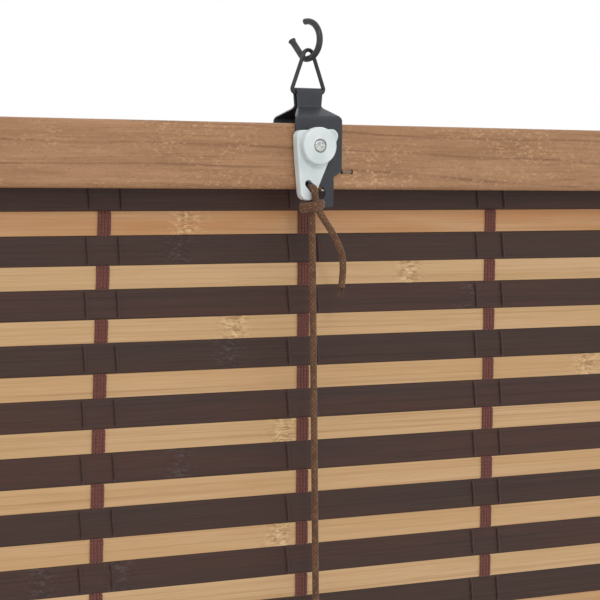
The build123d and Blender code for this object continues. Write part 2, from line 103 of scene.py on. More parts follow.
ROW_OVERLAP = 4.67  # how far the first visible row starts above the rail's lower edge
ROWS = 33
# Bamboo nodes that show, by slat and row, along the rail. Places up to 11 are seen in the photo, and a helper script
# that isn't handed in turned at least seven of them into millimetres. Places from 150 up are invented.
NODES_SEEN = {
    "light": {
        0: (-198, 190), 1: (-88, 250), 2: (-175, 205), 3: (11, 265), 4: (-150,), 6: (-152, 230), 8: (-133,),
    },
    "dark": {1: (-202, 170), 2: (-56, 270), 3: (-178, 150), 5: (-200, 180), 7: (-262, -228, 160)},
}
NODES_CLEAR = 9  # rows above this one have no other nodes left of the middle
NODE_MIDDLE, NODE_END = 60.0, 280.0  # the other nodes are between these
NODE_APART = (300, 400)

# ---- yarn ladders ----
LADDERS = 6
LADDER_PITCH = 96.0
YARN_THICK = 0.5
STRANDS = (-2.2, -0.73, 0.73, 2.2)  # across the ladder, over the light slats
STRAND_WIDE, STRAND_DEEP = 0.75, 0.4  # half of a strand's width and thickness
SIDE_THREAD = 7.1  # from the ladder's middle, over the dark slats
SIDE_WIDE = 0.42
SIDE_LEAN = 2.2  # how far a side thread leans across its dark slat, per pair of slats
LEAN_SHARES = (0.25, 0.55)  # where on the pair it is in place, and where it stops leaning
YARN_OVERLAP = 0.25  # each length of yarn runs on into the next pair
YARN_STRAY = 0.05
GAP_SHARE = 0.05  # nearer than this to a pair's end, the yarn is in the gap and doesn't stray
DARK_BEND, LIGHT_BEND = 1.5, 0.8  # how far from a slat's edge the yarn lies flat on it
THREAD_SIDES = 8
WANDER_ROWS = 20.0  # rows until a ladder has drifted there and back
# each ladder's place at the top, and how far it drifts per row. The first three are set from the photo
WANDER = ((5.4, -0.62), (2.2, 0.1), (3.1, 0.06), (-0.8, 0.1), (1.4, -0.2), (0.4, -0.1))

# ---- hangers, cords ----
HANGER_X = 144.0
CORD = 3.0
CORD_X = -6.0  # from the hanger's middle
CORD_LEAN = 28.0  # how far to the right of that the sling's foot is
CORD_SIDES = 18
CORD_STEP = 0.5
BRAID_COUNT = 5.0  # diamonds round the cord
BRAID_LONG = 4.5  # diamonds in one girth of length
BRAID_RISE = 0.11
SEAM_STEEP = 2.2
CORD_STRAIGHT = 6 * CORD  # where a straight run starts to bend
KNOT_Y = -14.4
KNOT_DROP = 34.9  # under the rail's top
KNOT_WIDE, KNOT_DEEP, KNOT_RISE = 4.35, 2.7, 2.75  # its turns' half width, half depth and height
KNOT_TURNS = 2.15
KNOT_STEPS = 44
KNOT_START = 150.0  # degrees
KNOT_SHIFT = 0.9
KNOT_BACK = 0.2
KNOT_TILT = 0.55
FALL_SHIFT = 1.0
FALL_DROP = 2.0  # the fall starts this far under the knot's middle
FOOT_FRONT, FOOT_REAR = 3.5, 14.5  # the sling's two falls at the bottom bar
WHEEL_TUCK = 0.2
WHEEL_X = 1.8  # the pulley wheel's middle, from the hanger's
WHEEL_DROP = 13.0  # under the rail's top
WRAP_R = 7.8  # from the wheel's middle to the cord's
GROOVE_Y = {"left": 20.2, "right": 16.0}
POST_X = 299.4  # the guide's post
POST_WRAP_R = 6.6
EXIT_DROP = 12.0
PULL_LONG = 400.0
FIBRES = 16  # at the tied end's tip
FIBRE_R = 0.13
FIBRE_SPREAD = (0.2, 1.2)
FIBRE_LONG = (2.0, 4.6)
FIBRE_ROOT = 1.5

# ---- staples ----
STAPLE_CROWN = 6.0
STAPLE_WIRE = 0.9
STAPLE_X = 14.3  # the front staple's middle, from the hanger's
STAPLE_DROP = 20.4  # under the rail's top
STAPLE_LEG = 3.0
STAPLE_BEND = 0.7
SPLIT_R = 0.75  # the torn hole round each leg, shown as a dark disc of painted shade
SPLIT_WIDE, SPLIT_FLAT = 1.4, 0.6
SPLIT_DEPTHS = (-0.2, 0.06)  # from inside the wood to just proud of it
REAR_STAPLES = 6
REAR_STAPLE_PITCH = 106.0

SIDES = {"left": -HANGER_X, "right": HANGER_X}

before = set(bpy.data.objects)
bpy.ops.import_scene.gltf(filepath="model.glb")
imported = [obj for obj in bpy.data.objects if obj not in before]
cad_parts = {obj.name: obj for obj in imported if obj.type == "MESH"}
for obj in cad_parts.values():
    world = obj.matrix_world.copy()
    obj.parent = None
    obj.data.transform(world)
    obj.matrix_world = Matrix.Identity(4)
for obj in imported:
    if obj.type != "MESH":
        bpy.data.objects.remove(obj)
cad_low, cad_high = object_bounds()

RAIL_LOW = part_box("headrail")[0].z / MM
RAIL_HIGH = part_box("headrail")[1].z / MM
RAIL_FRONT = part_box("headrail")[0].y / MM
ROW_TOP = RAIL_LOW + ROW_OVERLAP
SLAT_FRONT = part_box("slat_pair_04")[0].y / MM + YARN_THICK
SLAT_REAR = SLAT_FRONT + SLAT_THICK
KNOT_Z = RAIL_HIGH - KNOT_DROP
FALL_Z = KNOT_Z - FALL_DROP
WHEEL_Z = RAIL_HIGH - WHEEL_DROP
RUN_Z = WHEEL_Z + WRAP_R
POST_Z = RUN_Z - POST_WRAP_R


# ---------------------------------------------------------------- materials
def linear(r, g, b):
    """An sRGB colour from 0 to 255, as the linear RGBA that the nodes take."""
    return tuple(
        (c / 255 / 12.92 if c / 255 <= 0.04045 else ((c / 255 + 0.055) / 1.055) ** 2.4) for c in (r, g, b)
    ) + (1.0,)


def material(name, **sockets):
    """A material whose Principled shader has these sockets set."""
    made = bpy.data.materials.new(name)
    made.use_nodes = True
    shader = made.node_tree.nodes["Principled BSDF"]
    for socket, value in sockets.items():
        shader.inputs[socket.replace("_", " ").title().replace("Ior", "IOR")].default_value = value
    return made, made.node_tree, shader


def add(tree, kind, settings=None, **inputs):
    """Adds a node, sets its properties, and links or sets its inputs, named or numbered as i0 and so on."""
    made = tree.nodes.new("ShaderNode" + kind)
    for key, value in (settings or {}).items():
        setattr(made, key, value)
    for key, value in inputs.items():
        socket = made.inputs[int(key[1:])] if key[1:].isdigit() else made.inputs[key.replace("_", " ")]
        if isinstance(value, bpy.types.NodeSocket):
            tree.links.new(value, socket)
        else:
            socket.default_value = value
    return made.outputs[0]


def stretched(tree, scale, shift=(0, 0, 0), turn=(0, 0, 0)):
    """The piece's own coordinates, scaled to features per metre on each axis."""
    add(tree, "TexCoord")
    coords = tree.nodes[-1].outputs["Object"]
    return add(tree, "Mapping", None, Vector=coords, Location=shift, Rotation=turn, Scale=scale)


def attribute(tree, name):
    """A number that each point of the mesh keeps."""
    add(tree, "Attribute", {"attribute_name": name})
    return tree.nodes[-1].outputs["Fac"]


def wound(tree):
    """How far round its tube a point is, and how far along it, by its UV."""
    add(tree, "TexCoord")
    add(tree, "SeparateXYZ", None, Vector=tree.nodes[-1].outputs["UV"])
    return tree.nodes[-1].outputs[0], tree.nodes[-1].outputs[1]


def noise_of(tree, scale, detail=3.0, rough=0.55, shift=(0, 0, 0), turn=(0, 0, 0), twist=0.0):
    """Noise with its own number of features per metre along each axis."""
    vector = stretched(tree, scale, shift, turn)
    return add(
        tree, "TexNoise", None, Vector=vector, Scale=1.0, Detail=detail, Roughness=rough, Distortion=twist
    )


def remap(tree, value, low, high, to_low=0.0, to_high=1.0):
    """Value from low..high to to_low..to_high, clamped."""
    return add(
        tree, "MapRange", None, Value=value, From_Min=low, From_Max=high, To_Min=to_low, To_Max=to_high
    )


def mix(tree, share, first, second, blend="MIX"):
    """Blends two colours by a share."""
    return add(tree, "MixRGB", {"blend_type": blend}, i0=share, i1=first, i2=second)


def maths(tree, operation, first, second=0.0):
    """One sum on two values."""
    return add(tree, "Math", {"operation": operation}, i0=first, i1=second)


def finish_surface(tree, shader, colour, rough=None, height=None, strength=0.3, distance=0.0001):
    """Links the colour, roughness and bump to the shader."""
    tree.links.new(colour, shader.inputs["Base Color"])
    if rough is not None:
        tree.links.new(rough, shader.inputs["Roughness"])
    if height is not None:
        bump = add(tree, "Bump", None, Strength=strength, Distance=distance, Height=height)
        tree.links.new(bump, shader.inputs["Normal"])


def wood(name, base, dark, pale, fleck, grain="X", tilt=0.0):
    """Stained softwood: growth lines, fine fibres, open pores, blotches of stain and pale flecks in rubbed patches.
    """
    made, tree, shader = material(name, specular_ior_level=0.35)

    def along(length, depth, height):
        return (length, depth, height) if grain == "X" else (height, depth, length)

    turn = (0, tilt, 0)
    sloped = stretched(tree, along(GROWTH_SLOPE * GROWTH_LINES, GROWTH_LINES, GROWTH_LINES))
    add(tree, "SeparateXYZ", None, Vector=sloped)
    parts = tree.nodes[-1].outputs
    level = maths(tree, "ADD", parts[2], maths(tree, "ADD", parts[0], maths(tree, "MULTIPLY", parts[1], 0.3)))
    wave = noise_of(tree, along(5, 30, 30), 2.0, 0.5, shift=(5, 5, 5))
    rings = maths(tree, "FRACT", maths(tree, "ADD", level, maths(tree, "MULTIPLY", wave, 1.6)))
    broken = noise_of(tree, along(24, 90, 400), 3.0, 0.6, shift=(6, 1, 4))
    edge = maths(tree, "MULTIPLY", remap(tree, rings, 0.86, 0.985), remap(tree, broken, 0.38, 0.6, 0.25, 1.0))
    fibres = noise_of(tree, along(40, 1000, 1300), 4.0, 0.65, turn=turn)
    blotch = noise_of(tree, along(18, 60, 130), 3.0, 0.6, shift=(3, 1, 2))
    pores = noise_of(tree, along(520, 1400, 1400), 2.0, 0.7)
    specks = noise_of(tree, along(480, 900, 950), 3.0, 0.75, shift=(9, 2, 5))
    patches = noise_of(tree, along(20, 60, 70), 2.0, 0.5, shift=(1, 8, 3))
    rubbed = remap(tree, patches, 0.4, 0.62, 0.15, 1.0)
    flecks = maths(tree, "MULTIPLY", remap(tree, specks, 0.52, 0.66), rubbed)
    colour = mix(tree, remap(tree, blotch, 0.34, 0.66, 0.1, 0.75), base, pale)
    colour = mix(tree, remap(tree, fibres, 0.35, 0.75, 0.0, 0.45), colour, dark)
    colour = mix(tree, maths(tree, "MULTIPLY", edge, 0.7), colour, dark)
    colour = mix(tree, remap(tree, pores, 0.60, 0.74, 0.0, 0.6), colour, dark)
    colour = mix(tree, maths(tree, "MULTIPLY", flecks, 0.85), colour, fleck)
    rough = remap(tree, fibres, 0.3, 0.7, 0.48, 0.66)
    height = maths(tree, "SUBTRACT", fibres, maths(tree, "MULTIPLY", pores, 0.6))
    finish_surface(tree, shader, colour, rough, height, 0.35, 0.00012)
    return made


def bamboo(name, base, warm, cool, streak, mark_pale, mark_dark, marks, rough):
    """A bamboo slat: long fibres, tone that changes from slat to slat, the marks at its nodes and painted shade in
    its eased edges.
    """
    made, tree, shader = material(name, specular_ior_level=0.4)
    tone, near, edge = (attribute(tree, key) for key in ("tone", "node_mark", "edge"))
    long = noise_of(tree, (5, 60, 1500), 3.0, 0.6)
    fine = noise_of(tree, (45, 400, 5200), 3.0, 0.65)
    broad = noise_of(tree, (8, 20, 90), 2.0, 0.5, shift=(4, 4, 4))
    colour = mix(tree, remap(tree, tone, 0.0, 1.0), base, warm)
    colour = mix(tree, remap(tree, broad, 0.42, 0.72, 0.0, 0.8), colour, cool)
    colour = mix(tree, remap(tree, long, 0.48, 0.74, 0.0, 0.7), colour, streak)
    colour = mix(tree, remap(tree, fine, 0.50, 0.74, 0.0, 0.5), colour, streak)
    colour = mix(tree, remap(tree, fine, 0.26, 0.42, 0.25, 0.0), colour, mark_pale)
    dashes = noise_of(tree, (330, 200, 900), 2.0, 0.6, twist=0.8)
    pale = maths(tree, "MULTIPLY", near, remap(tree, dashes, 0.52, 0.62, 0.0, marks))
    deep = maths(tree, "MULTIPLY", near, remap(tree, dashes, 0.40, 0.46, marks, 0.0))
    colour = mix(tree, pale, colour, mark_pale)
    colour = mix(tree, deep, colour, mark_dark)
    # painted shade: the eased edges are darkened where the slats meet in a groove
    colour = mix(tree, maths(tree, "MULTIPLY", edge, EDGE_SHADE), colour, linear(30, 20, 17))
    surface = remap(tree, fine, 0.3, 0.7, rough - 0.08, rough + 0.08)
    height = maths(tree, "ADD", maths(tree, "MULTIPLY", fine, 0.6), maths(tree, "MULTIPLY", pale, 1.2))
    finish_surface(tree, shader, colour, surface, height, 0.3, 0.0001)
    return made


def yarn_material():
    """Twisted dark red yarn: plies that wind round each strand, by its own UV, with painted highlights on the plies'
    crests and painted shade between them.
    """
    made, tree, shader = material(
        "yarn_twist", specular_ior_level=0.35, sheen_weight=0.25, sheen_roughness=0.5
    )
    across, lengthwise = wound(tree)
    twist = maths(tree, "MULTIPLY", lengthwise, 3.0)
    ply = maths(tree, "FRACT", maths(tree, "ADD", maths(tree, "MULTIPLY", across, 2.0), twist))
    crest = maths(tree, "PINGPONG", ply, 0.5)
    crest = maths(tree, "MULTIPLY", crest, 2.0)
    fuzz = noise_of(tree, (2600, 2600, 900), 3.0, 0.7)
    side = attribute(tree, "side_thread")
    # painted highlight on the plies' crests and painted shade in the grooves between them
    colour = mix(tree, maths(tree, "MULTIPLY", crest, 0.8), linear(62, 25, 18), linear(122, 56, 40))
    # painted highlights: pale flecks of fuzz where light catches the strands
    colour = mix(tree, remap(tree, fuzz, 0.5, 0.75, 0.0, 0.55), colour, linear(140, 92, 78))
    colour = mix(tree, maths(tree, "MULTIPLY", side, 0.92), colour, linear(50, 27, 24))
    rough = remap(tree, fuzz, 0.3, 0.7, 0.5, 0.75)
    finish_surface(tree, shader, colour, rough, maths(tree, "ADD", crest, fuzz), 0.5, 0.0001)
    return made


def braid_material():
    """Brown braided cord: each diamond of the braid has its own tone, with painted highlights on the strands and
    painted shade in the seams between diamonds.
    """
    made, tree, shader = material("cord_braid", specular_ior_level=0.3, sheen_weight=0.2, sheen_roughness=0.5)
    across, lengthwise = wound(tree)
    around = maths(tree, "MULTIPLY", across, BRAID_COUNT)
    lengthwise = maths(tree, "MULTIPLY", lengthwise, BRAID_LONG)
    left = maths(tree, "ADD", around, lengthwise)
    right = maths(tree, "SUBTRACT", around, lengthwise)
    dip_left = maths(tree, "PINGPONG", left, 0.5)
    dip_right = maths(tree, "PINGPONG", right, 0.5)
    seam = maths(tree, "MULTIPLY", maths(tree, "MINIMUM", dip_left, dip_right), 2.0)
    cell = add(
        tree, "CombineXYZ", None, X=maths(tree, "WRAP", maths(tree, "FLOOR", left), BRAID_COUNT),
        Y=maths(tree, "FLOOR", right),
    )
    shade = add(tree, "TexWhiteNoise", {"noise_dimensions": "2D"}, Vector=cell)
    strand = noise_of(tree, (1500, 1500, 900), 3.0, 0.7)
    colour = mix(tree, shade, linear(84, 54, 32), linear(120, 82, 50))
    # painted highlights: pale flecks along the strands
    colour = mix(tree, remap(tree, strand, 0.5, 0.75, 0.0, 0.5), colour, linear(148, 108, 76))
    # painted shade in the seams between the braid's diamonds
    colour = mix(tree, remap(tree, seam, 0.0, 0.5, 0.8, 0.0), colour, linear(56, 34, 24))
    rough = remap(tree, strand, 0.3, 0.7, 0.6, 0.85)
    finish_surface(tree, shader, colour, rough, maths(tree, "ADD", seam, strand), 0.4, 0.0001)
    return made


def coated(name, base, pale, rough, grain, metal=0.0):
    """Painted or powder-coated metal: a fine uneven coat, rubbed in patches."""
    made, tree, shader = material(name, metallic=metal, specular_ior_level=0.45)
    peel = noise_of(tree, (grain,) * 3, 2.0, 0.5)
    worn = noise_of(tree, (grain / 9,) * 3, 5.0, 0.7, shift=(2, 7, 1))
    colour = mix(tree, remap(tree, worn, 0.42, 0.74, 0.0, 0.65), base, pale)
    surface = remap(tree, worn, 0.3, 0.7, rough - 0.08, rough + 0.12)
    finish_surface(tree, shader, colour, surface, peel, 0.25, 0.00012)
    return made


def nylon_material():
    """Moulded white nylon, slightly see-through, with faint flow marks."""
    made, tree, shader = material(
        "nylon_moulded", subsurface_weight=0.35, subsurface_scale=0.0012, specular_ior_level=0.45
    )
    shader.inputs["Subsurface Radius"].default_value = (1.0, 1.0, 0.95)
    flow = noise_of(tree, (120, 120, 60), 3.0, 0.5)
    skin = noise_of(tree, (1800,) * 3, 2.0, 0.5)
    colour = mix(tree, remap(tree, flow, 0.35, 0.7), linear(195, 204, 204), linear(214, 220, 220))
    surface = remap(tree, flow, 0.3, 0.7, 0.36, 0.46)
    finish_surface(tree, shader, colour, surface, skin, 0.12, 0.0001)
    return made


def steel_material():
    """Bright zinc-plated steel with fine scratches."""
    made, tree, shader = material("steel_zinc", metallic=1.0)
    scratch = noise_of(tree, (400, 2500, 2500), 3.0, 0.6)
    colour = mix(tree, scratch, linear(168, 168, 166), linear(226, 226, 224))
    surface = remap(tree, scratch, 0.3, 0.7, 0.24, 0.42)
    finish_surface(tree, shader, colour, surface, scratch, 0.15, 0.00005)
    return made


STAIN = (linear(149, 109, 76), linear(108, 70, 45), linear(176, 134, 99), linear(192, 152, 114))
RAIL_WOOD = wood("rail_stain", *STAIN, tilt=math.radians(GRAIN_TILT))
KNOB_WOOD = wood("knob_stain", *STAIN, grain="Z")
LIGHT = bamboo(
    "bamboo_natural", linear(188, 153, 109), linear(178, 126, 79), linear(195, 159, 120),
    linear(158, 118, 78), linear(216, 187, 140), linear(142, 104, 68), 0.7, 0.5,
)
DARK = bamboo(
    "bamboo_stained", linear(58, 34, 23), linear(66, 36, 26), linear(52, 34, 27),
    linear(34, 18, 13), linear(86, 74, 76), linear(34, 24, 22), 0.45, 0.55,
)
YARN = yarn_material()
BRAID = braid_material()
WIRE = coated("wire_black", linear(34, 34, 35), linear(70, 68, 66), 0.34, 1500)
STRAP = coated("strap_grey", linear(44, 47, 52), linear(56, 59, 64), 0.46, 1800)
NYLON = nylon_material()
STEEL = steel_material()
DULL_STEEL = coated("staple_wire", linear(128, 118, 106), linear(168, 158, 146), 0.45, 1500, metal=0.5)
# painted shade: dark discs in the holes round the staples' legs
HOLE_SHADE = coated("painted_hole_shade", linear(40, 24, 16), linear(66, 42, 30), 0.85, 2400)


# ---------------------------------------------------------------- meshes
def piece(name, verts, faces, surface, body, nodes=(), uvs=None, numbers=None):
    """A mesh in millimetres as a piece that rides on a body and stands for CAD nodes."""
    mesh = bpy.data.meshes.new(name)
    mesh.from_pydata([tuple(c * MM for c in v) for v in verts], [], faces)
    mesh.shade_smooth()
    for key, values in (numbers or {}).items():
        mesh.attributes.new(key, "FLOAT", "POINT").data.foreach_set("value", values)
    if uvs:
        layer = mesh.uv_layers.new(name="wound")
        flat = [c for loop in mesh.loops for c in uvs[loop.index]]
        layer.data.foreach_set("uv", flat)
    mesh.materials.append(surface)
    made = bpy.data.objects.new(name, mesh)
    bpy.context.scene.collection.objects.link(made)
    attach(made, body)
    if nodes:
        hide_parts(*nodes)
    return made


def joined(parts):
    """Several (verts, faces, uvs) as one."""
    verts, faces, uvs = [], [], []
    for some_verts, some_faces, some_uvs in parts:
        start = len(verts)
        verts += some_verts
        faces += [tuple(start + i for i in face) for face in some_faces]
        uvs += some_uvs
    return verts, faces, uvs


def lengths_along(points):
    """How far along the path each point is."""
    run, out = 0.0, [0.0]
    for a, b in zip(points, points[1:]):
        run += (b - a).length
        out.append(run)
    return out


def even(points, step):
    """The same path with evenly spaced points."""
    run = lengths_along(points)
    count = max(2, round(run[-1] / step))
    out, at = [], 0
    for i in range(count + 1):
        want = run[-1] * i / count
        while at < len(points) - 2 and run[at + 1] < want:
            at += 1
        span = run[at + 1] - run[at]
        out.append(points[at].lerp(points[at + 1], (want - run[at]) / span if span else 0.0))
    return out


def tube(points, radius, sides, start_side, flat=1.0, relief=None):
    """A tube along a path, as (verts, faces, uvs). u goes round it, and v along it in turns."""
    side = Vector(start_side)
    verts, faces, uvs, run = [], [], [], 0.0
    girth = 2 * math.pi * radius
    for i, point in enumerate(points):
        ahead = (points[min(i + 1, len(points) - 1)] - points[max(i - 1, 0)]).normalized()
        side = (side - ahead * side.dot(ahead)).normalized()
        over = ahead.cross(side)
        if i:
            run += (point - points[i - 1]).length
        for k in range(sides):
            angle = 2 * math.pi * k / sides
            rise = relief(k / sides, run / girth) if relief else 0.0
            out = radius + rise
            verts.append(point + side * math.cos(angle) * out + over * math.sin(angle) * out * flat)
    along = [run / girth for run in lengths_along(points)]
    for i in range(len(points) - 1):
        for k in range(sides):
            nxt = (k + 1) % sides
            faces.append((i * sides + k, i * sides + nxt, (i + 1) * sides + nxt, (i + 1) * sides + k))
            uvs += [
                (k / sides, along[i]),
                ((k + 1) / sides, along[i]),
                ((k + 1) / sides, along[i + 1]),
                (k / sides, along[i + 1]),
            ]
    last = (len(points) - 1) * sides
    faces.append(tuple(range(sides - 1, -1, -1)))
    faces.append(tuple(last + k for k in range(sides)))
    uvs += [(0.0, 0.0)] * sides + [(0.0, along[-1])] * sides
    return verts, faces, uvs


def spline(points):
    """The smooth line of a cord's route, read from its NURBS spline."""
    curve = bpy.data.curves.new("route", "CURVE")
    curve.dimensions = "3D"
    line = curve.splines.new("NURBS")
    line.points.add(len(points) - 1)
    for target, point in zip(line.points, points):
        target.co = (*point, 1.0)
    line.order_u = 3
    line.use_endpoint_u = True
    line.resolution_u = 48
    holder = bpy.data.objects.new("route", curve)
    bpy.context.scene.collection.objects.link(holder)
    mesh = bpy.data.meshes.new_from_object(holder)
    out = [v.co.copy() for v in mesh.vertices]
    bpy.data.objects.remove(holder)
    bpy.data.meshes.remove(mesh)
    bpy.data.curves.remove(curve)
    return out


def curve_through(points, steps):
    """A smooth line through points, for threads that are too short to be cords."""
    out = []
    for i in range(len(points) - 1):
        a, b = points[max(i - 1, 0)], points[i]
        c, d = points[i + 1], points[min(i + 2, len(points) - 1)]
        for k in range(steps):
            t = k / steps
            bend, twist = 2 * a - 5 * b + 4 * c - d, 3 * b - a - 3 * c + d
            out.append(0.5 * (2 * b + (c - a) * t + bend * t * t + twist * t**3))
    return [*out, points[-1]]


# ---------------------------------------------------------------- slats
def slat_outline(high):
    """The slat's section as (y, z) about its centre: eased edges and a slight crown on both faces."""
    deep, tall = SLAT_THICK / 2 - SLAT_ROUND, high / 2 - SLAT_ROUND
    points = []
    for y, z, start in ((deep, tall, 0), (-deep, tall, 90), (-deep, -tall, 180), (deep, -tall, 270)):
        for step in range(CORNER_STEPS + 1):
            angle = math.radians(start + 90 / CORNER_STEPS * step)
            points.append((y + SLAT_ROUND * math.cos(angle), z + SLAT_ROUND * math.sin(angle)))
        if start in (90, 270):
            face = -1 if start == 90 else 1
            points += [
                (face * (SLAT_THICK / 2 + SLAT_CROWN * (1 - t * t)), tall * t * face)
                for t in CROWN_STEPS
            ]
    return points


def node_places(kind, row):
    """Where the bamboo's nodes are along a slat."""
    if row in NODES_SEEN[kind]:
        return NODES_SEEN[kind][row]
    pick = random.Random(row * 2 + (kind == "dark"))
    if 0 <= row < NODES_CLEAR:
        return (pick.uniform(NODE_MIDDLE, NODE_END),)
    first = pick.uniform(-NODE_END, NODE_MIDDLE)
    return tuple(x for x in (first, first + pick.uniform(*NODE_APART)) if x < WIDTH / 2)


def settled(point):
    """Where a point of the top rows hangs: they dip a little to the left under the rail."""
    down = (ROW_TOP - point.z) / PAIR
    if not 0 < down < FIXED_ROWS:
        return point
    dip = min(1.0, down / SETTLE_DEPTH) if down < 1 else (FIXED_ROWS - down) / (FIXED_ROWS - 1)
    left = min(1.0, max(0.0, (SETTLE_X - point.x) / (SETTLE_X + WIDTH / 2)))
    return Vector((point.x, point.y, point.z - SETTLE * dip * left))


def closeness(x, nodes, reach):
    """1 at a node, falling to 0 over a few times the reach."""
    return max([math.exp(-(((x - at) / reach) ** 2)) for at in nodes], default=0.0)


def slat(kind, row):
    """One slat as (verts, faces, tones, marks, edges), from end to end of the blind."""
    high = DARK_HIGH if kind == "dark" else LIGHT_HIGH
    top = ROW_TOP - PAIR * row - SLAT_GAP / 2 - (0 if kind == "dark" else DARK_HIGH + SLAT_GAP)
    middle = Vector((0, (SLAT_FRONT + SLAT_REAR) / 2, top - high / 2))
    high += SLAT_GAP + SLAT_SPREAD
    pick = random.Random(row * 7 + (kind == "dark"))
    nodes = node_places(kind, row)
    ends = (-WIDTH / 2 + pick.uniform(0.0, END_UNEVEN), WIDTH / 2 - pick.uniform(0.0, END_UNEVEN))
    stations = {round(ends[0] + SLAT_STEP * i, 2) for i in range(1, int(WIDTH / SLAT_STEP))}
    for x in nodes:
        stations |= {round(x + dx, 2) for dx in NODE_STATIONS}
    between = sorted(x for x in stations if ends[0] + END_CLEAR < x < ends[1] - END_CLEAR)
    stations = [ends[0], *between, ends[1]]
    outline = slat_outline(high)
    if kind == "light":
        tone = 1.0 if row == 0 else pick.choice((0.0, 0.08, 0.2, 0.32))
    else:
        tone = pick.random()
    seed = row * 3.7 + (11.3 if kind == "dark" else 0.0)
    verts, tones, marks, edges = [], [], [], []
    for x in stations:
        bow = noise.noise(Vector((x / BOW_LONG, seed, 0))) * BOW
        dent = noise.noise(Vector((x / DENT_LONG, seed, 5))) * DENT
        near = closeness(x, nodes, NODE_REACH)
        swell = 1 + NODE_SWELL * closeness(x, nodes, SWELL_REACH)
        thin, low = (END_THIN, END_LOW) if x in ends else (1.0, 1.0)
        for y, z in outline:
            verts.append(settled(middle + Vector((x, (y * swell + dent) * thin, (z + bow) * low))))
            tones.append(tone)
            marks.append(near)
            # the eased edges are marked for painted shade
            edges.append(1.0 if abs(z) > high / 2 - SLAT_ROUND / 2 else 0.0)
    size, faces = len(outline), []
    for i in range(len(stations) - 1):
        for k in range(size):
            nxt = (k + 1) % size
            faces.append((i * size + k, (i + 1) * size + k, (i + 1) * size + nxt, i * size + nxt))
    last = (len(stations) - 1) * size
    faces.append(tuple(range(size)))
    faces.append(tuple(last + k for k in range(size - 1, -1, -1)))
    return verts, faces, tones, marks, edges


def slats_piece(name, kind, rows, body, node):
    """The dark or the light slats of some rows as one piece."""
    verts, faces, tones, marks, edges = [], [], [], [], []
    for row in rows:
        some = slat(kind, row)
        start = len(verts)
        verts += some[0]
        faces += [tuple(start + i for i in face) for face in some[1]]
        tones += some[2]
        marks += some[3]
        edges += some[4]
    surface = DARK if kind == "dark" else LIGHT
    piece(
        name, verts, faces, surface, body, [node],
        numbers={"tone": tones, "node_mark": marks, "edge": edges},
    )


# ---------------------------------------------------------------- yarn
def ladder_x(ladder, row):
    """Where a ladder crosses a row: its place, and the drift of a hand-fed loom."""
    start, drift = WANDER[ladder]
    nominal = (ladder - (LADDERS - 1) / 2) * LADDER_PITCH
    return nominal + start + drift * WANDER_ROWS / math.pi * math.sin(math.pi * row / WANDER_ROWS)


def weave(ladder, row, offset, wide, deep, over_light, pick):
    """One thread of a pair of slats: over one slat, through the gap and behind the other."""
    top = ROW_TOP - PAIR * row
    between = top - SLAT_GAP - DARK_HIGH
    middle = (SLAT_FRONT + SLAT_REAR) / 2
    front, rear = SLAT_FRONT - deep - SLAT_CROWN, SLAT_REAR + deep + SLAT_CROWN
    first, second = (rear, front) if over_light else (front, rear)
    levels = [
        (middle, top + YARN_OVERLAP),
        (first, top - DARK_BEND),
        (first, top - DARK_HIGH / 2),
        (first, between + DARK_BEND),
        (middle, between),
        (second, between - LIGHT_BEND),
        (second, between - LIGHT_HIGH / 2),
        (second, top - PAIR + LIGHT_BEND),
        (middle, top - PAIR - YARN_OVERLAP),
    ]
    points = []
    for y, z in levels:
        share = (top - z) / PAIR
        x = ladder_x(ladder, row + share) + offset
        in_gap = abs(share - round(share)) < GAP_SHARE
        x += 0.0 if in_gap else pick.uniform(-YARN_STRAY, YARN_STRAY)
        if not over_light:
            x += SIDE_LEAN * (min(share, LEAN_SHARES[1]) - LEAN_SHARES[0])
        points.append(settled(Vector((x, y, z))))
    return tube(curve_through(points, 3), wide, THREAD_SIDES, (1, 0, 0), flat=deep / wide)


def yarn_piece(name, rows, body, node):
    """All the yarn of some rows: four strands and two side threads on each ladder."""
    parts = []
    for row in rows:
        pick = random.Random(1000 + row)
        for ladder in range(LADDERS):
            for offset in STRANDS:
                parts.append(weave(ladder, row, offset, STRAND_WIDE, STRAND_DEEP, True, pick))
            for offset in (-SIDE_THREAD, SIDE_THREAD):
                parts.append(weave(ladder, row, offset, SIDE_WIDE, SIDE_WIDE, False, pick))
    verts, faces, uvs = joined(parts)
    threads = [len(some[0]) for some in parts]
    per_ladder = [0.0] * len(STRANDS) + [1.0] * 2
    kinds = per_ladder * (len(parts) // len(per_ladder))
    side = [kind for kind, size in zip(kinds, threads) for _ in range(size)]
    piece(name, verts, faces, YARN, body, [node], uvs, numbers={"side_thread": side})


def weave_curtain():
    """The rows that are fixed to the rail, then each pair of slats that moves."""
    fixed = range(-1, FIXED_ROWS)
    slats_piece("dark_slats_top", "dark", fixed, "headrail", "top_slats")
    slats_piece("light_slats_top", "light", fixed, "headrail", "top_slats")
    yarn_piece("yarn_top", fixed, "headrail", "top_slats")
    for row in range(FIXED_ROWS, ROWS):
        number = f"{row + 1:02d}"
        body, node = f"slats_{number}", f"slat_pair_{number}"
        slats_piece(f"dark_slat_{number}", "dark", [row], body, node)
        slats_piece(f"light_slat_{number}", "light", [row], body, node)
        yarn_piece(f"yarn_{number}", [row], body, node)


# ---------------------------------------------------------------- cords
def braid(u, v):
    """Height of the braid's diamonds on a cord."""
    left, right = u * BRAID_COUNT + v * BRAID_LONG, u * BRAID_COUNT - v * BRAID_LONG
    dips = [2 * abs(t - math.floor(t) - 0.5) for t in (left + 0.5, right + 0.5)]
    return BRAID_RISE * (min(1.0, SEAM_STEEP * min(1 - dips[0], 1 - dips[1])) - 1.0)


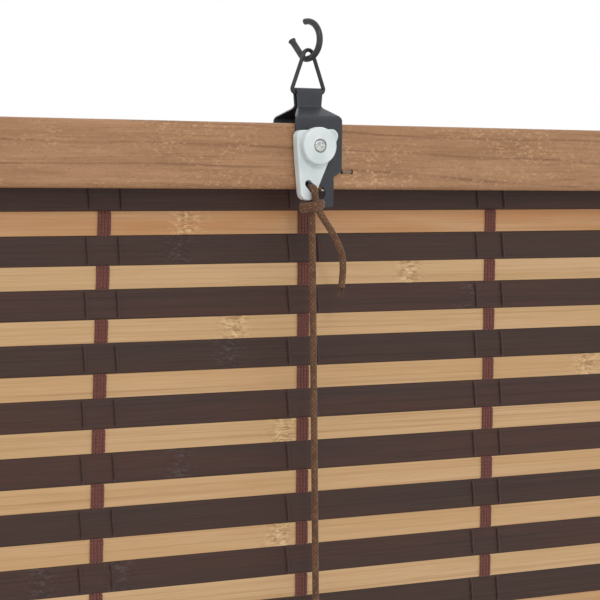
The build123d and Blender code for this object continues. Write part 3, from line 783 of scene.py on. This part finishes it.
def braided(name, points, body, nodes, start_side=(1, 0, 0), step=CORD_STEP):
    """A braided cord along a path, as a piece, and the path that it follows."""
    path = even(points, step)
    verts, faces, uvs = tube(path, CORD / 2, CORD_SIDES, start_side, relief=braid)
    return piece(name, verts, faces, BRAID, body, nodes, uvs), path


def declare(path, with_pieces=()):
    """Works out the length of a cord's path in metres, and keeps nothing."""
    lengths_along(path)[-1] * MM


def knot(side, x):
    """The cord's two turns round the fall and the tied end."""
    points = []
    for i in range(KNOT_STEPS + 1):
        share = i / KNOT_STEPS
        angle = math.radians(KNOT_START) - 2 * math.pi * KNOT_TURNS * share
        points.append(
            Vector((
                x + CORD_X + KNOT_SHIFT + KNOT_WIDE * math.cos(angle),
                KNOT_Y - KNOT_BACK + KNOT_DEEP * math.sin(angle),
                KNOT_Z + KNOT_RISE * (0.5 - share) + KNOT_TILT * math.cos(angle),
            ))
        )
    made, _ = braided(f"cord_knot_{side}", points, "headrail", ["cord_knots"], (0, 0, 1))
    return made


def sling(side, x):
    """The lift cord: down the front, round the bottom bar and up the rear to its pulley."""
    cx, groove = x + CORD_X, GROOVE_Y[side]
    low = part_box(f"lift_cord_{side}")[0].z / MM + CORD / 2
    top, wheel = Vector((cx + FALL_SHIFT, KNOT_Y, FALL_Z)), Vector((cx, groove, WHEEL_Z - WHEEL_TUCK))
    corner_front, corner_rear = (Vector((cx + CORD_LEAN, y, low)) for y in (FOOT_FRONT, FOOT_REAR))
    beside = FOOT_REAR - FOOT_FRONT
    route = [
        top,
        top + (corner_front - top).normalized() * CORD_STRAIGHT,
        corner_front + (top - corner_front).normalized() * beside,
        corner_front,
        corner_rear,
        corner_rear + (wheel - corner_rear).normalized() * beside,
        wheel + (corner_rear - wheel).normalized() * CORD_STRAIGHT,
        wheel,
    ]
    made, path = braided(f"lift_cord_{side}_braid", spline(route), "headrail", [f"lift_cord_{side}"])
    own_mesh(made)
    declare(path, [knot(side, x)])


def run_cord(side, x):
    """The cord over the pulley, along the rail and down over the guide's post."""
    groove, over, drop = GROOVE_Y[side], x + WHEEL_X, POST_X + POST_WRAP_R
    route = [
        (x + CORD_X, groove, WHEEL_Z),
        (x + CORD_X, groove, RUN_Z),
        (over, groove, RUN_Z),
        (POST_X, groove, RUN_Z),
        (drop, groove, RUN_Z),
        (drop, groove, POST_Z),
        (drop, groove, POST_Z - EXIT_DROP),
    ]
    made, path = braided(f"run_cord_{side}_braid", spline(route), "headrail", [f"run_cord_{side}"], (0, 1, 0))
    declare(path)


def frayed_tip(side, tip, ahead):
    """Loose fibres at the cord's cut end."""
    pick = random.Random(5)
    parts = []
    for _ in range(FIBRES):
        angle, spread = pick.uniform(0, 2 * math.pi), pick.uniform(*FIBRE_SPREAD)
        out = Vector((math.cos(angle), math.sin(angle), 0)) * spread
        length = pick.uniform(*FIBRE_LONG)
        points = [
            tip - ahead * FIBRE_ROOT + out * 0.6,
            tip + ahead * length * 0.5 + out,
            tip + ahead * length + out * 1.7,
        ]
        parts.append(tube(curve_through(points, 4), FIBRE_R, 5, (1, 0, 0)))
    verts, faces, uvs = joined(parts)
    return piece(f"tied_end_{side}_fibres", verts, faces, BRAID, "headrail", (), uvs)


def tied_end(side, x):
    """The cord's end: out of the anchor's slot, through the knot and off to the right, cut and frayed."""
    cx = x + CORD_X
    route = [
        (cx + 1.1, -12.4, KNOT_Z + 8.1),
        (cx + 0.9, -16.9, KNOT_Z + 7.9),
        (cx + 0.8, -16.9, KNOT_Z + 4.5),
        (cx + 3.2, KNOT_Y - 1.2, FALL_Z),
        (cx + 11.8, KNOT_Y - 1.0, KNOT_Z - 13.0),
        (cx + 16.8, KNOT_Y - 1.0, KNOT_Z - 24.0),
        (cx + 15.0, KNOT_Y - 1.0, KNOT_Z - 35.0),
    ]
    made, path = braided(f"tied_end_{side}_braid", spline(route), "headrail", [f"tied_end_{side}"])
    fibres = frayed_tip(side, path[-1], (path[-1] - path[-4]).normalized())
    declare(path, [fibres])


def pull_cord(side):
    """The cord that hangs from the guide to the knob."""
    drop, groove, top = POST_X + POST_WRAP_R, GROOVE_Y[side], POST_Z - EXIT_DROP
    route = [(drop, groove, top - down) for down in (0, CORD_STRAIGHT, PULL_LONG)]
    made, path = braided(f"pull_cord_{side}_braid", spline(route), "pull", [f"pull_cord_{side}"])
    declare(path, [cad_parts["pull_knob"]])


# ---------------------------------------------------------------- staples
def staple(x, z, face, toward):
    """Round wire with bent shoulders, and a dark disc of painted shade in the split that each leg leaves, as two
    (verts, faces, uvs).
    """
    half, crown = STAPLE_CROWN / 2 - STAPLE_WIRE, face + toward * STAPLE_WIRE / 2
    inner, buried = half - STAPLE_BEND, face - toward * STAPLE_LEG
    route = [(-half, buried), (-half, face), (-inner, crown), (inner, crown), (half, face), (half, buried)]
    bent = curve_through([Vector((x + across, y, z)) for across, y in route], 5)
    wire = tube(bent, STAPLE_WIRE / 2 - 0.05, THREAD_SIDES, (0, 0, 1))
    splits = []
    for edge in (x - half - SPLIT_R / 2, x + half + SPLIT_R / 2):
        ends = [Vector((edge, face + toward * depth, z)) for depth in SPLIT_DEPTHS]
        splits.append(tube(ends, SPLIT_R * SPLIT_WIDE, 12, (0, 0, 1), flat=SPLIT_FLAT))
    return wire, splits


def rail_staples():
    """The front staples beside the straps and the rear ones that hold the curtain."""
    front = [(x + STAPLE_X, RAIL_HIGH - STAPLE_DROP, RAIL_FRONT, -1) for x in SIDES.values()]
    level = ROW_TOP + SLAT_GAP / 2 + LIGHT_HIGH / 2
    first = -REAR_STAPLE_PITCH * (REAR_STAPLES - 1) / 2
    rear = [(first + REAR_STAPLE_PITCH * i, level, SLAT_REAR + SLAT_CROWN, 1) for i in range(REAR_STAPLES)]
    made = [staple(*place) for place in front + rear]
    verts, faces, uvs = joined([wire for wire, _ in made])
    piece("staple_wires", verts, faces, DULL_STEEL, "headrail", ["rail_staples"], uvs)
    # the dark discs of painted shade in the holes
    verts, faces, uvs = joined([split for _, splits in made for split in splits])
    piece("staple_hole_shades", verts, faces, HOLE_SHADE, "headrail", (), uvs)


# ---------------------------------------------------------------- CAD nodes, light and camera
def dress(surface, *names):
    """Gives CAD nodes a better material."""
    for name in names:
        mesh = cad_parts[name].data
        mesh.materials.clear()
        mesh.materials.append(surface)


def dress_hardware():
    """The wood, steel, nylon and wire of the nodes whose CAD shape stays."""
    dress(RAIL_WOOD, "headrail", "bottom_bar")
    dress(KNOB_WOOD, "pull_knob")
    dress(STEEL, "anchor_screws", "mounting_screws", "pulley_pins")
    dress(NYLON, "cord_guide")
    for side in SIDES:
        dress(WIRE, f"hook_{side}", f"ring_{side}")
        dress(STRAP, f"hanger_strap_{side}")
        dress(NYLON, f"cord_anchor_{side}", f"pulley_block_{side}", f"pulley_wheel_{side}")


def lamp(name, azimuth, elevation, distance, size, power):
    """A square soft light that faces the hanger. Azimuth 0 is in front, and positive is to the right."""
    data = bpy.data.lights.new(name, "AREA")
    data.energy, data.size = power, size
    made = bpy.data.objects.new(name, data)
    bpy.context.scene.collection.objects.link(made)
    turn, rise = math.radians(azimuth), math.radians(elevation)
    away = Vector((math.sin(turn) * math.cos(rise), -math.cos(turn) * math.cos(rise), math.sin(rise)))
    made.location = Vector(LIT_PLACE) + away * distance
    made.rotation_euler = away.to_track_quat("Z", "Y").to_euler()


def light_stage():
    """A pale floor, a white surround and soft lamps."""
    world = bpy.context.scene.world or bpy.data.worlds.new("studio")
    bpy.context.scene.world = world
    world.use_nodes = True
    sky = world.node_tree.nodes["Background"]
    sky.inputs["Color"].default_value = (1.0, 1.0, 1.0, 1.0)
    sky.inputs["Strength"].default_value = 1.0
    low = cad_low.z - FLOOR_DROP
    corners = [(x * FLOOR_REACH, y * FLOOR_REACH, low) for x, y in ((-1, -1), (1, -1), (1, 1), (-1, 1))]
    mesh = bpy.data.meshes.new("floor")
    mesh.from_pydata(corners, [], [(0, 1, 2, 3)])
    surface, tree, shader = material("floor_paint")
    grain = noise_of(tree, (3, 3, 3), 2.0)
    pale = mix(tree, grain, linear(226, 226, 224), linear(234, 234, 233))
    finish_surface(tree, shader, pale)
    shader.inputs["Roughness"].default_value = 0.8
    mesh.materials.append(surface)
    floor = bpy.data.objects.new("floor", mesh)
    bpy.context.scene.collection.objects.link(floor)
    lamp("key", azimuth=-14, elevation=34, distance=2.4, size=0.4, power=11.0)
    lamp("rear", azimuth=160, elevation=30, distance=3.0, size=1.5, power=14.0)


def place_camera():
    """The camera, by its place, the way it looks and its roll."""
    yaw, down, roll = (math.radians(a) for a in (CAMERA_YAW, CAMERA_DOWN, CAMERA_ROLL))
    ahead = Vector((math.sin(yaw) * math.cos(down), math.cos(yaw) * math.cos(down), -math.sin(down)))
    level = Vector((math.cos(yaw), -math.sin(yaw), 0))
    upright = level.cross(ahead)
    right = level * math.cos(roll) + upright * math.sin(roll)
    up = upright * math.cos(roll) - level * math.sin(roll)
    data = bpy.data.cameras.new("camera")
    data.lens, data.sensor_width = CAMERA_LENS, SENSOR
    data.clip_start, data.clip_end = CLIP_METRES
    camera = bpy.data.objects.new("camera", data)
    bpy.context.scene.collection.objects.link(camera)
    turn = Matrix((right, up, -ahead)).transposed().to_4x4()
    camera.matrix_world = Matrix.Translation(Vector(CAMERA) * MM) @ turn
    bpy.context.scene.camera = camera


bpy.context.scene.view_settings.view_transform = "Standard"
place_camera()
light_stage()
dress_hardware()
for name, centre in SIDES.items():
    sling(name, centre)
    run_cord(name, centre)
    tied_end(name, centre)
    pull_cord(name)
rail_staples()
weave_curtain()
